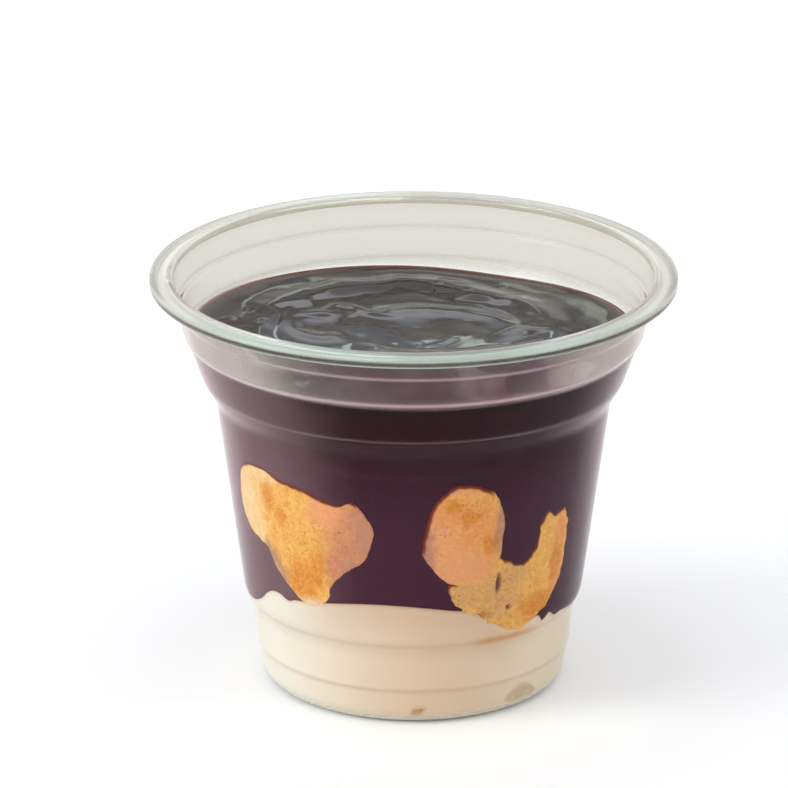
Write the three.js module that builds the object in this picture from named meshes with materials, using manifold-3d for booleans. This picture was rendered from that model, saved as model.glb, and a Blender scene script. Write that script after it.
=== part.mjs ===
// Profiteroles in a clear plastic dessert cup: vanilla cream at the bottom, chocolate sauce above it
// up to a poured, swirled top, and choux buns pressed against the wall. Millimetres, +Z up. The origin
// is the middle of the foot ring, where the cup stands. The front, with the buns, looks along -Y.

import * as THREE from 'three';
import { mergeVertices } from 'three/addons/utils/BufferGeometryUtils.js';
import Module from 'manifold-3d';

const wasm = await Module();
wasm.setup();

// ---- driving dimensions ----

const CUP_HEIGHT = 76.9;
const RIM_RADIUS = 47.5;
const WALL = 0.6;
const CLEARANCE = 0.3;          // between any two pieces that touch

const FOOT_RADIUS = 23.6;       // flat ring that the cup stands on
const FOOT_WIDTH = 3.2;
const FOOT_RISE = 1.0;          // the floor inside the ring is pushed up by this much
const FOOT_SLOPE = 1.0;
const HEEL_WIDTH = 4.1;         // the rounded heel between foot and wall
const HEEL_HEIGHT = 3.2;

// The wall above the heel, as [height, outer radius] at each corner of its pressed steps.
const WALL_CORNERS = [
  [7.0, 28.3], [7.5, 28.6],     // line low in the cream
  [14.4, 29.2], [17.6, 30.75],  // step where the foot band meets the cone
  [54.0, 35.75], [58.2, 38.25], // shoulder
  [65.5, 40.8], [66.2, 41.5],   // lower stacking ring
  [70.9, 42.5], [71.5, 43.0],   // upper stacking ring
  [75.3, 43.9],
];

const LIP_DROP = 1.9;           // the flange's rolled edge, measured down from the top
const LIP_THICKNESS = 1.0;
const FLANGE_THICKNESS = 0.9;

// Where the cream meets the chocolate at the wall, as [degrees round from the front, height].
const CREAM_LINE = [
  [-180, 17.5], [-110, 17.2], [-80, 17.4], [-66, 19.2], [-54, 22.6], [-45, 22.2], [-28, 23.9], [0, 24.7],
  [13, 23.6], [22, 20.6], [34, 17.4], [50, 17.9], [64, 17.2], [90, 16.6], [140, 17.3],
];
const CREAM_MIDDLE = 19.5;      // height of the same face at the cup's axis

// The chocolate's edge on the wall, as [degrees round from the front, height].
const CHOCOLATE_LINE = [
  [-180, 64.1], [-150, 64.8], [-115, 65.4], [-60, 65.0], [0, 64.4], [60, 64.6], [110, 64.6], [155, 63.5],
];
const CHOCOLATE_MIDDLE = 63.2;

// The swirl that pouring leaves on the chocolate: ridges along arcs of ellipses, seen from above. Each
// has its middle, its half axes along X and Y, the degrees from +X where it starts and ends, and its
// height and half width.
const RIDGES = [
  { middle: [-1.5, 5.5], axes: [26, 26], from: -60, to: 250, height: 0.8, width: 3.6 },  // outer turn
  { middle: [3, 6], axes: [16, 11], from: -40, to: 140, height: 0.4, width: 2.6 },       // turns inside it
  { middle: [-13.5, 9], axes: [8, 6.5], from: 80, to: 290, height: 0.4, width: 2.4 },
  { middle: [4, 2], axes: [15, 9], from: 195, to: 345, height: 0.4, width: 2.6 },
];
const RIDGE_FADE = 30;          // degrees over which a ridge rises at its start and sinks at its end

// ---- mesh settings ----

const TURNS = 60;               // segments of the cup and its fillings
const HEEL_STEPS = 3;
const LIP_STEPS = 2;
const BUN_MESH = { turns: 36, rings: 4 };
const SMALL_MESH = { turns: 14, rings: 2 };
const CREAM_RINGS = 6;
const SWIRL_RINGS = 12;
const LEVEL_RADIUS = RIM_RADIUS;  // past the cup, so that it cuts right through the filling

// ---- the buns' shapes ----

// Each bun: outline on the wall as [degrees round from the front, height], seen from outside, its
// spine (one point for a round bun) and its depth into the cup.
const BUNS = {
  profiterole_left: {
    outline: [
      [-66.4, 43.8], [-62.9, 46.2], [-57.5, 47.3], [-51.2, 47.4], [-44.1, 46.4], [-34.6, 45.8],
      [-27.0, 44.4], [-22.0, 43.9], [-17.8, 44.6], [-14.2, 42.2], [-12.0, 39.9], [-12.5, 37.0],
      [-14.8, 33.5], [-18.2, 31.7], [-23.0, 29.6], [-27.0, 27.2], [-28.7, 24.4], [-32.5, 22.8],
      [-35.7, 22.1], [-40.7, 22.9], [-44.7, 24.8], [-48.0, 26.3], [-51.4, 28.6], [-53.6, 31.3],
      [-58.5, 32.3], [-64.2, 33.8], [-67.9, 38.0],
    ],
    spine: [[-36, 38]],
    depth: 13,
    mesh: BUN_MESH,
  },
  profiterole_right: {
    outline: [
      [29.0, 36.0], [29.2, 39.8], [27.6, 43.6], [24.4, 46.6], [19.4, 48.1], [13.6, 48.6], [8.9, 47.0],
      [5.4, 44.0], [3.2, 39.0], [2.6, 35.2], [5.6, 32.2], [10.4, 29.2], [17.4, 27.8], [22.9, 28.1],
      [26.4, 30.0], [28.4, 32.6],
    ],
    spine: [[16, 38.5]],
    depth: 12,
    mesh: BUN_MESH,
  },
  profiterole_crescent: {
    outline: [
      [52.6, 39.6], [55.6, 37.9], [57.2, 33.5], [57.3, 27.5], [54.6, 23.0], [49.4, 20.0], [43.0, 18.1],
      [36.0, 17.3], [29.0, 18.9], [22.4, 21.3], [16.4, 23.1], [12.4, 25.2], [10.4, 27.9], [16.4, 27.3],
      [22.6, 27.5], [26.8, 29.3], [29.4, 32.4], [31.6, 32.2], [34.6, 31.1], [39.0, 31.7], [41.6, 34.4],
      [42.8, 38.0], [45.4, 39.9], [49.6, 38.8],
    ],
    spine: [[51.8, 37.4], [49.6, 30.8], [44.0, 26.4], [34.5, 24.8], [25.5, 24.8], [15.5, 25.6]],
    depth: 11,
    mesh: BUN_MESH,
  },
  choux_piece_front: {
    outline: [[5.4, 3.4], [2.0, 4.2], [-1.8, 3.2], [-1.0, 1.9], [2.6, 1.5]],
    spine: [[1.8, 2.9]],
    depth: 2.2,
    mesh: SMALL_MESH,
  },
  choux_piece_right: {
    outline: [[54.0, 2.6], [50.0, 4.6], [44.8, 5.8], [40.0, 4.8], [36.4, 2.9], [39.5, 1.9], [47.5, 1.8]],
    spine: [[45.5, 3.6]],
    depth: 3.5,
    mesh: SMALL_MESH,
  },
};

// ---- curves of one variable ----

// Height at an angle, round the whole turn: a smooth closed curve through [degrees, height] points.
function aroundCurve(points) {
  const period = 360;
  const count = points.length;
  const at = (i) => {
    const turn = Math.floor(i / count);
    const [degrees, height] = points[i - turn * count];
    return [degrees + turn * period, height];
  };
  return (degrees) => {
    const angle = degrees - period * Math.floor((degrees - points[0][0]) / period);
    let i = 0;
    while (at(i + 1)[0] <= angle) i += 1;
    const [[x0, y0], [x1, y1], [x2, y2], [x3, y3]] = [i - 1, i, i + 1, i + 2].map(at);
    const t = (angle - x1) / (x2 - x1);
    const m1 = ((y2 - y0) / (x2 - x0)) * (x2 - x1);
    const m2 = ((y3 - y1) / (x3 - x1)) * (x2 - x1);
    const t2 = t * t;
    const t3 = t2 * t;
    return (2 * t3 - 3 * t2 + 1) * y1 + (t3 - 2 * t2 + t) * m1 + (3 * t2 - 2 * t3) * y2 + (t3 - t2) * m2;
  };
}

const degreesFromFront = (x, y) => THREE.MathUtils.radToDeg(Math.atan2(x, -y));

// ---- the cup's profile ----

// Heel points [height, outer radius], a quarter ellipse from the foot up to the wall.
function heelProfile() {
  return Array.from({ length: HEEL_STEPS + 1 }, (_, i) => {
    const angle = (i / HEEL_STEPS) * (Math.PI / 2);
    return [HEEL_HEIGHT * (1 - Math.cos(angle)), FOOT_RADIUS + HEEL_WIDTH * Math.sin(angle)];
  });
}

const OUTER_PROFILE = [...heelProfile(), ...WALL_CORNERS];

// Outer radius of the wall at a height, straight between the profile's points.
function outerRadius(height) {
  const last = OUTER_PROFILE.length - 1;
  const above = OUTER_PROFILE.findIndex(([z]) => z > height);
  const i = above < 0 ? last : Math.max(above, 1);
  const [z0, r0] = OUTER_PROFILE[i - 1];
  const [z1, r1] = OUTER_PROFILE[i];
  return r0 + ((r1 - r0) * (height - z0)) / (z1 - z0);
}

const innerRadius = (height) => outerRadius(height) - WALL;

// The floor's underside, from the axis out to the foot ring, as [radius, height].
function floorProfile() {
  const ringInside = FOOT_RADIUS - FOOT_WIDTH;
  return [[0, FOOT_RISE], [ringInside - FOOT_SLOPE, FOOT_RISE], [ringInside, 0]];
}

// The rolled rim, from under the flange round the lip and over the top, as [radius, height].
function rimProfile(underside, inside) {
  const half = LIP_THICKNESS / 2;
  const lip = Array.from({ length: LIP_STEPS + 1 }, (_, i) => {
    const angle = (i / LIP_STEPS) * (Math.PI / 2);
    return [RIM_RADIUS - half + Math.cos(angle) * half, CUP_HEIGHT - half + Math.sin(angle) * half];
  });
  return [
    [underside, CUP_HEIGHT - FLANGE_THICKNESS],
    [RIM_RADIUS - LIP_THICKNESS, CUP_HEIGHT - FLANGE_THICKNESS],
    [RIM_RADIUS - LIP_THICKNESS, CUP_HEIGHT - LIP_DROP + LIP_THICKNESS / 4],
    [RIM_RADIUS - half, CUP_HEIGHT - LIP_DROP],
    [RIM_RADIUS, CUP_HEIGHT - LIP_DROP + LIP_THICKNESS / 4],
    ...lip,
    [inside + FLANGE_THICKNESS / 2, CUP_HEIGHT],
    [inside, CUP_HEIGHT - FLANGE_THICKNESS / 2],
  ];
}

function cupProfile() {
  const wall = OUTER_PROFILE.map(([z, r]) => [r, z]);
  const innerWall = [...OUTER_PROFILE].reverse().map(([z, r]) => [r - WALL, Math.max(z, WALL)]);
  const innerFloor = [...floorProfile()].reverse().map(([r, z]) => [r, z + WALL]);
  const top = wall[wall.length - 1][0];
  const rim = rimProfile(top + FLANGE_THICKNESS, top - WALL);
  return [...floorProfile(), ...wall, ...rim, ...innerWall, ...innerFloor];
}

// The space that food can fill, CLEARANCE inside the wall and floor.
function cavityProfile() {
  const lift = WALL + CLEARANCE;
  const floor = floorProfile().map(([r, z]) => [r, z + lift]);
  const wall = OUTER_PROFILE.map(([z, r]) => [r - lift, Math.max(z, lift)]);
  return [...floor, ...wall, [0, wall[wall.length - 1][1]]];
}

// ---- closed meshes ----

// Merges shared corners and drops the triangles that fold to nothing at poles and clamped rows.
function closed(geometry) {
  geometry.deleteAttribute('normal');
  geometry.deleteAttribute('uv');
  const merged = mergeVertices(geometry);
  const corners = merged.index.array;
  const kept = [];
  for (let i = 0; i < corners.length; i += 3) {
    const [a, b, c] = [corners[i], corners[i + 1], corners[i + 2]];
    if (a !== b && b !== c && c !== a) kept.push(a, b, c);
  }
  merged.setIndex(kept);
  if (signedVolume(merged) < 0) merged.setIndex(kept.reverse());
  return merged;
}

function signedVolume(geometry) {
  const place = geometry.attributes.position;
  const corners = geometry.index.array;
  const [a, b, c] = [new THREE.Vector3(), new THREE.Vector3(), new THREE.Vector3()];
  let sum = 0;
  for (let i = 0; i < corners.length; i += 3) {
    a.fromBufferAttribute(place, corners[i]);
    b.fromBufferAttribute(place, corners[i + 1]);
    c.fromBufferAttribute(place, corners[i + 2]);
    sum += a.dot(b.cross(c)) / 6;
  }
  return sum;
}

// Turns a profile of [radius, height] points about Z. With place(turn, radius, height), where turn
// runs from 0 to 1, each point goes where that says instead.
function revolve(profile, turns, place) {
  const geometry = new THREE.LatheGeometry(profile.map(([r, z]) => new THREE.Vector2(r, z)), turns);
  geometry.rotateX(Math.PI / 2);
  if (place) {
    const position = geometry.attributes.position;
    for (let i = 0; i < position.count; i += 1) {
      const turn = (Math.floor(i / profile.length) % turns) / turns;
      const [radius, height] = profile[i % profile.length];
      const { x, y, z } = place(turn, radius, height);
      position.setXYZ(i, x, y, z);
    }
  }
  return closed(geometry);
}

function toSolid(geometry) {
  return new wasm.Manifold(new wasm.Mesh({
    numProp: 3,
    vertProperties: new Float32Array(geometry.attributes.position.array),
    triVerts: new Uint32Array(geometry.index.array),
  }));
}

function toGeometry(solid) {
  const mesh = solid.getMesh();
  const geometry = new THREE.BufferGeometry();
  geometry.setAttribute('position', new THREE.BufferAttribute(mesh.vertProperties, 3));
  geometry.setIndex(new THREE.BufferAttribute(mesh.triVerts, 1));
  return geometry;
}

// ---- the buns ----

// A point on the wall's inside or further in: degrees from the front, height, and depth from the
// outer wall.
function onWall(degrees, height, depth) {
  const angle = THREE.MathUtils.degToRad(degrees);
  const radius = outerRadius(height) - depth;
  return new THREE.Vector3(radius * Math.sin(angle), -radius * Math.cos(angle), height);
}

// Length of one degree along the wall halfway up the buns, for working in millimetres on it.
const BUNS_MIDDLE = 34;
const MM_PER_DEGREE = THREE.MathUtils.degToRad(outerRadius(BUNS_MIDDLE));

const toPlane = ([degrees, height]) => new THREE.Vector3(degrees * MM_PER_DEGREE, height, 0);

const FLUSH = WALL + CLEARANCE;   // depth of a bun's face, just inside the wall
const THROUGH = -CLEARANCE;       // depth of a hole's face, outside the wall
const BUN_SHOULDER = 0.35;        // a bun is this thick straight behind its outline

// A bun against the wall: its face follows the wall inside the outline, and its back is a dome whose
// ridge lies on the spine. grow makes it larger all round, for the hole that it leaves in a filling.
function bun({ outline, spine, depth, mesh }, grow, face) {
  const edge = new THREE.CatmullRomCurve3(outline.map(toPlane), true, 'centripetal');
  const ridge = spine.length > 1 ? new THREE.CatmullRomCurve3(spine.map(toPlane)) : null;
  const backAndForth = (turn) => (1 - Math.cos(2 * Math.PI * turn)) / 2;
  const ridgePoint = (turn) => (ridge ? ridge.getPoint(backAndForth(turn)) : toPlane(spine[0]));
  const rings = Array.from({ length: mesh.rings + 1 }, (_, i) => i / mesh.rings);
  const domeDepth = (ring) => FLUSH + BUN_SHOULDER + (depth + grow - BUN_SHOULDER) * Math.sqrt(1 - ring ** 2);
  const rows = [
    ...rings.map((ring) => [ring, face]),
    [1, FLUSH],
    ...rings.reverse().map((ring) => [ring, domeDepth(ring)]),
  ];
  return revolve(rows, mesh.turns, (turn, ring, inward) => {
    const from = ridgePoint(turn);
    const to = edge.getPoint(turn);
    const along = edge.getTangent(turn);
    const outward = new THREE.Vector3(along.y, -along.x, 0).multiplyScalar(grow);
    if (outward.dot(to.clone().sub(from)) < 0) outward.negate();
    const point = from.lerp(to.add(outward), ring);
    return onWall(point.x / MM_PER_DEGREE, point.y, inward);
  });
}

const bunGeometries = Object.fromEntries(
  Object.entries(BUNS).map(([name, spec]) => [name, bun(spec, 0, FLUSH)]),
);
const bunHoles = Object.values(BUNS).map((spec) => toSolid(bun(spec, CLEARANCE, THROUGH)));

// ---- the fillings ----

const creamAtWall = aroundCurve(CREAM_LINE);
const chocolateAtWall = aroundCurve(CHOCOLATE_LINE);

// A level that is one height at the axis and follows a curve at the wall.
function levelHeight(x, y, atWall, middle) {
  const reach = Math.min(Math.hypot(x, y) / innerRadius(middle), 1);
  return THREE.MathUtils.lerp(middle, atWall(degreesFromFront(x, y)), reach ** 2);
}

const creamTop = (x, y) => levelHeight(x, y, creamAtWall, CREAM_MIDDLE);

// One ridge: a bell of its half width about the ellipse, measured along the line from its middle, that
// fades at both ends of the arc.
function ridgeHeight(x, y, { middle, axes, from, to, height, width }) {
  const [dx, dy] = [x - middle[0], y - middle[1]];
  const [across, along] = [dx / axes[0], dy / axes[1]];
  const reach = Math.max(Math.hypot(across, along), 1e-6);
  const off = Math.hypot(dx, dy) * (1 - 1 / reach);
  const { euclideanModulo, radToDeg, smoothstep } = THREE.MathUtils;
  const turned = euclideanModulo(radToDeg(Math.atan2(along, across)) - from, 360);
  const sweep = to - from;
  const fade = smoothstep(turned, 0, RIDGE_FADE) * (1 - smoothstep(turned, sweep - RIDGE_FADE, sweep));
  return height * fade * Math.exp(-((off / width) ** 2));
}

const swirl = (x, y) => RIDGES.reduce((sum, ridge) => sum + ridgeHeight(x, y, ridge), 0);
const chocolateTop = (x, y) => levelHeight(x, y, chocolateAtWall, CHOCOLATE_MIDDLE) + swirl(x, y);

// A thick disc, wider than the cup, between two heights that vary over it.
function slab(lower, lowerRings, upper, upperRings) {
  const side = (rings, end) => Array.from({ length: rings + 1 }, (_, i) => [(LEVEL_RADIUS * i) / rings, end]);
  const profile = [...side(lowerRings, 0), ...side(upperRings, 1).reverse()];
  return toSolid(revolve(profile, TURNS, (turn, radius, end) => {
    const angle = turn * 2 * Math.PI;
    const [x, y] = [radius * Math.sin(angle), -radius * Math.cos(angle)];
    return { x, y, z: (end ? upper : lower)(x, y) };
  }));
}

const cavity = toSolid(revolve(cavityProfile(), TURNS));
const BELOW = -1;
const halfGap = CLEARANCE / 2;
const cream = bunHoles.reduce(
  (solid, hole) => solid.subtract(hole),
  cavity.intersect(slab(() => BELOW, 1, (x, y) => creamTop(x, y) - halfGap, CREAM_RINGS)),
);
const chocolate = bunHoles.reduce(
  (solid, hole) => solid.subtract(hole),
  cavity.intersect(slab((x, y) => creamTop(x, y) + halfGap, CREAM_RINGS, chocolateTop, SWIRL_RINGS)),
);

// ---- materials and the finished group ----

function finish(color, roughness, more = {}) {
  return new THREE.MeshStandardMaterial({ color, roughness, metalness: 0, ...more });
}

const MATERIALS = {
  clearPlastic: finish(0xe9e7e0, 0.08, { transparent: true, opacity: 0.3 }),
  vanillaCream: finish(0xdcc3a5, 0.45),
  chocolateSauce: finish(0x3a2125, 0.15),
  chouxPale: finish(0xecb46a, 0.85),
  chouxPink: finish(0xdf9f72, 0.85),
  chouxBrown: finish(0xd0924e, 0.85),
  chouxSoaked: finish(0xc9a983, 0.85),
};

const dessert = new THREE.Group();

function add(name, geometry, material) {
  const mesh = new THREE.Mesh(geometry, material);
  mesh.name = name;
  dessert.add(mesh);
}

add('cup', revolve(cupProfile(), TURNS), MATERIALS.clearPlastic);
add('vanilla_cream', toGeometry(cream), MATERIALS.vanillaCream);
add('chocolate_sauce', toGeometry(chocolate), MATERIALS.chocolateSauce);
add('profiterole_left', bunGeometries.profiterole_left, MATERIALS.chouxPale);
add('profiterole_right', bunGeometries.profiterole_right, MATERIALS.chouxPink);
add('profiterole_crescent', bunGeometries.profiterole_crescent, MATERIALS.chouxBrown);
add('choux_piece_front', bunGeometries.choux_piece_front, MATERIALS.chouxSoaked);
add('choux_piece_right', bunGeometries.choux_piece_right, MATERIALS.chouxSoaked);

export default dessert;
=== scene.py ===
"""Profiteroles in a clear plastic cup: vanilla cream, chocolate sauce and choux buns at the wall.

Every piece is a surface worked out with numpy from the cup's own profile: a profile turned about the
axis, or a bun's outline laid on the wall. Sizes in the functions are millimetres, and the meshes are
metres. Angles on the wall are degrees round from the front (-Y), growing towards +X.
"""

import itertools
import math

import bpy
import numpy as np
from mathutils import Matrix, Vector


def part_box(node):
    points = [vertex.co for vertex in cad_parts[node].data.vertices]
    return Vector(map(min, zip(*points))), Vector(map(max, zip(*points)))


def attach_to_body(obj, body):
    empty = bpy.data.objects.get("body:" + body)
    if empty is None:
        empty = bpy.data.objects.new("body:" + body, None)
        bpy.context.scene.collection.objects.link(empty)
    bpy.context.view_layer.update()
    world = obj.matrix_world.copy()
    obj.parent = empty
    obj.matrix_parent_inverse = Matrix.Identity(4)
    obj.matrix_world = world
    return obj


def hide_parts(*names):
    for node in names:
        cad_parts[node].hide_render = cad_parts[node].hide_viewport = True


bl_info = {
    "name": "Profiteroles in a Clear Cup",
    "version": (1, 0, 0),
    "blender": (4, 5, 0),
    "location": "3D View > Sidebar > Dessert",
    "description": "Builds a clear cup of cream, chocolate sauce and choux buns",
    "category": "Add Mesh",
}

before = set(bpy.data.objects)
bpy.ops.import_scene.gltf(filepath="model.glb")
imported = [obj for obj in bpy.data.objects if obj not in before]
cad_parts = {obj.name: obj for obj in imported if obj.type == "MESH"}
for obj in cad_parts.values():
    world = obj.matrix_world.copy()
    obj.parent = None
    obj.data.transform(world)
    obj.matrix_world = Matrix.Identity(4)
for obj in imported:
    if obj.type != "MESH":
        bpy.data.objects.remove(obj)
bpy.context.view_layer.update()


def srgb(*colour):
    """A colour given as 0-255 screen values, as the linear values that shaders take."""
    return tuple(((v / 255 + 0.055) / 1.055) ** 2.4 if v > 10 else v / 255 / 12.92 for v in colour)


# ---- sizes, in millimetres ----

MM = 0.001
RIM_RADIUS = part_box("cup")[1].x / MM
CUP_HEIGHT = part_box("cup")[1].z / MM
WALL = 0.6
FOOT_RADIUS = 23.6
FOOT_WIDTH = 3.2
FOOT_RISE = 1.0
FOOT_SLOPE = 1.0
HEEL_WIDTH = 4.1
HEEL_HEIGHT = 3.2

# The wall above the heel: height, outer radius and rounding at each corner of its pressed steps.
WALL_CORNERS = [
    (7.0, 28.3, 0.5), (7.5, 28.6, 0.5),
    (14.4, 29.2, 1.2), (17.6, 30.75, 1.2),
    (54.0, 35.75, 1.2), (58.2, 38.25, 0.8),
    (65.5, 40.8, 0.45), (66.2, 41.5, 0.45),
    (70.9, 42.5, 0.4), (71.5, 43.0, 0.4),
    (75.3, 43.9, 0.5),
]
# Painted highlight and shade along the rings, as a bright or a dull line: height, half width, share.
PAINTED_RING_LINES = [(57.9, 0.30, 0.25), (66.0, 0.50, 1.0), (71.4, 0.40, 0.7)]
LIP_DROP = 1.9
LIP_THICKNESS = 1.0
FLANGE_THICKNESS = 0.9

FILL_DEPTH = 0.4                # fillings reach this close to the wall's outer face, inside the plastic
CHOUX_DEPTH = 0.3               # choux lies a little prouder, so that the sauce stops at its edge

# Where the cream meets the chocolate at the wall: degrees, height.
CREAM_LINE = [
    (-180, 17.5), (-110, 17.2), (-85, 17.3), (-72, 17.9), (-67.4, 18.4), (-61.6, 19.9), (-57.4, 21.7),
    (-53.4, 22.7), (-49.6, 22.7), (-47.0, 22.1), (-45.4, 22.0), (-43.0, 22.5), (-35.0, 23.1), (-24.4, 24.1),
    (-14.1, 24.7), (-4.3, 24.7), (5.3, 24.2), (12.9, 23.5), (16.3, 23.2), (22.3, 22.3), (27.9, 20.6),
    (32.0, 19.3), (36.3, 18.2), (40.8, 18.2), (45.1, 18.9), (47.4, 18.8), (49.2, 17.6), (50.8, 17.9),
    (52.7, 18.7), (54.6, 18.1), (56.9, 17.4), (60.5, 17.6), (64.0, 17.4), (70.0, 16.9), (90, 16.6),
    (140, 17.3),
]
CREAM_MIDDLE = 19.5

# The chocolate's edge on the wall: degrees, height.
CHOCOLATE_LINE = [
    (-180, 64.1), (-150, 64.8), (-115, 65.4), (-60, 65.0), (0, 64.4), (60, 64.6), (110, 64.6), (155, 63.5),
]
CHOCOLATE_MIDDLE = 63.2

# The swirl that pouring left on the chocolate: ridges along arcs of ellipses, seen from above. Each is
# its middle, its half axes, the degrees from +X where it starts and ends, its height and half width.
RIDGES = [
    ((-1.5, 5.5), (26.0, 26.0), (-60, 250), 0.8, 3.6),      # outer turn
    ((3.0, 6.0), (16.0, 11.0), (-40, 140), 0.4, 2.6),       # turns inside it
    ((-13.5, 9.0), (8.0, 6.5), (80, 290), 0.4, 2.4),
    ((4.0, 2.0), (15.0, 9.0), (195, 345), 0.4, 2.6),
]
# Folds too fine for the solid: thin lips of sauce, in the same terms.
FOLDS = [
    ((3.0, 27.0), (14.8, 14.8), (196, 262), 0.20, 1.0),     # slanting lip behind the middle
    ((-13.0, 17.0), (3.2, 3.2), (-70, 190), 0.20, 0.9),     # curl at its upper end
    ((-1.5, 5.5), (24.6, 24.8), (140, 232), -0.30, 0.9),    # crease inside the outer turn
    ((20.0, 2.0), (4.0, 3.6), (20, 160), 0.18, 1.0),
    ((-16.5, 9.5), (5.0, 4.0), (60, 250), -0.15, 0.9),
]
RIDGE_FADE = 30.0               # degrees over which a ridge rises at its start and sinks at its end
SWIRL_BENDS = [(1.3, 9.0), (0.4, 3.0)]      # how far slow and finer noise bend the swirl, and its size
SWIRL_REACH = (24.0, 30.0)      # distances from its middle between which the drag lines end
DRAG_HEIGHT = 0.022             # the drag lines: height, spacing, how oval they run, how often they break
DRAG_SPACING = 1.3
DRAG_OVAL = 1.25
DRAG_BREAKS = 2.5
SWELL_HEIGHT = 0.10             # height and size of the slow swell of the whole top
SWELL_SIZE = 8.0
# Small pits in the chocolate's top: x and y. Then their depth and the square of their half width.
PITS = [(2.5, 28.3), (4.1, 31.2), (9.8, 28.2), (-29.8, 13.5), (15.4, 31.2), (-27.5, 7.4), (21.3, 2.9)]
PIT_DEPTH = 0.35
PIT_SPREAD = 0.5
CLIMB_REACH = 0.9               # how far from the wall the sauce's climb has died down

# The choux: its outline on the wall, its spine, how deep it reaches, and soft patches of its looks.
# A look's patches are their middles and half sizes: degrees, height, degrees, height.
CHOUX = {
    "profiterole_left": {
        "outline": [
            (-66.4, 43.8), (-62.9, 46.2), (-57.5, 47.3), (-51.2, 47.4), (-44.1, 46.4), (-34.6, 45.8),
            (-27.0, 44.4), (-22.0, 43.9), (-17.8, 44.6), (-14.2, 42.2), (-12.0, 39.9), (-12.5, 37.0),
            (-14.8, 33.5), (-18.2, 31.7), (-23.0, 29.6), (-27.0, 27.2), (-28.7, 24.4), (-32.5, 22.8),
            (-35.7, 22.1), (-40.7, 22.9), (-44.7, 24.8), (-48.0, 26.3), (-51.4, 28.6), (-53.6, 31.3),
            (-58.5, 32.3), (-64.2, 33.8), (-67.9, 38.0),
        ],
        "spine": [(-36, 38)],
        "depth": 13.0,
        "proud": 0.0,
        "ragged": 0.18,
        "patches": {
            "pale": [(-62, 41, 9, 9), (-52, 46, 9, 2), (-57, 35, 5, 4)],
            "pink": [(-17, 38, 13, 9), (-24, 32, 6, 6)],
            "rosy": [(-28, 42, 7, 3.5)],
            "lilac_and_shade": [(-15, 37, 5, 8), (-20, 31.5, 5, 3)],
            "fringe": [(-50, 28, 3, 4), (-47, 26.4, 3, 2.5), (-53, 30.5, 2.5, 3)],
            "toasted": [(-50, 42, 3, 3), (-45, 39, 2.5, 2), (-38, 27, 7, 5), (-32, 30, 3, 5)],
            "creamed": [(-36, 21.4, 9, 2.8)],
        },
    },
    "profiterole_right": {
        "outline": [
            (29.0, 36.0), (29.2, 39.8), (27.6, 43.6), (24.4, 46.6), (19.4, 48.1), (13.6, 48.6), (8.9, 47.0),
            (5.4, 44.0), (3.2, 39.0), (2.6, 35.2), (5.6, 32.2), (10.4, 29.2), (17.4, 27.8), (22.9, 28.1),
            (26.4, 30.0), (28.4, 32.6),
        ],
        "spine": [(16, 38.5)],
        "depth": 12.0,
        "proud": 0.12,
        "ragged": 0.15,
        "patches": {
            "rosy": [(7, 38, 8, 8), (12, 33, 10, 6), (20, 31.5, 8, 4), (16, 47.6, 7, 1.6)],
            "brown": [(14, 43, 8, 3), (21, 41, 6, 5), (17, 39, 4, 3), (25, 37, 3, 4)],
            "olive": [(26, 36.8, 1.2, 1.6)],
            # The first patch, at the bun's right edge, is painted shadow
            "lilac_and_shade": [(28.0, 40, 2.6, 7), (4.2, 35, 3, 5)],
            "toasted": [(12, 44.5, 3, 1.5), (18, 42, 4, 1.2), (24, 36, 2, 2)],
        },
    },
    "profiterole_crescent": {
        "outline": [
            (52.6, 39.6), (55.6, 37.9), (57.2, 33.5), (57.3, 27.5), (54.6, 23.0), (49.4, 20.0), (43.0, 18.1),
            (36.0, 17.3), (29.0, 18.9), (22.4, 21.3), (16.4, 23.1), (12.4, 25.2), (10.8, 28.9), (16.4, 29.2),
            (22.2, 29.6), (25.2, 31.2), (27.8, 33.4), (31.6, 32.2), (34.6, 31.1), (39.0, 31.7), (41.6, 34.4),
            (42.8, 38.0), (45.4, 39.9), (49.6, 38.8),
        ],
        "spine": [(51.8, 37.4), (49.6, 30.8), (44.0, 26.4), (34.5, 24.8), (25.5, 24.8), (15.5, 25.8)],
        "depth": 11.0,
        "proud": 0.0,
        "ragged": 0.35,
        "patches": {
            "soaked": [(17, 26, 8, 3.5), (28, 25, 9, 5), (34, 29, 6, 3)],
            "olive": [(24, 22, 3, 0.8)],
            "brown": [(54, 26, 5, 5), (53, 33, 3, 6)],
            "toasted": [(45, 21.5, 9, 3), (52, 29, 3, 4)],
            "pit": [(28.4, 27.9, 0.9, 1.9), (32.8, 22.6, 0.9, 0.6), (21.8, 21.9, 0.9, 0.5)],
        },
    },
    "choux_piece_front": {
        "outline": [(5.4, 3.4), (2.0, 4.2), (-1.8, 3.2), (-1.0, 1.9), (2.6, 1.5)],
        "spine": [(1.8, 2.9)],
        "depth": 2.2,
        "proud": 0.0,
        "ragged": 0.1,
        "patches": {
            "olive": [(1.5, 2.7, 4, 1.3)],
            "pit": [(3.6, 1.9, 1.3, 0.35), (-0.6, 2.1, 0.8, 0.4)],
        },
    },
    "choux_piece_right": {
        "outline": [
            (54.0, 2.6), (50.0, 4.6), (44.8, 5.8), (40.0, 4.8), (36.4, 2.9), (39.5, 1.9), (47.5, 1.8),
        ],
        "spine": [(45.5, 3.6)],
        "depth": 3.5,
        "proud": 0.0,
        "ragged": 0.1,
        "patches": {},
    },
}
BUNS = ("profiterole_left", "profiterole_right", "profiterole_crescent")
SOAKED = ("choux_piece_front", "choux_piece_right")
LOOKS = ("pale", "pink", "rosy", "brown", "toasted", "soaked", "lilac_and_shade", "fringe", "olive", "creamed")
SMOOTH_LOOKS = ("pale", "pink", "rosy", "lilac_and_shade", "fringe", "creamed")

# ---- where the looks lie ----

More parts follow.
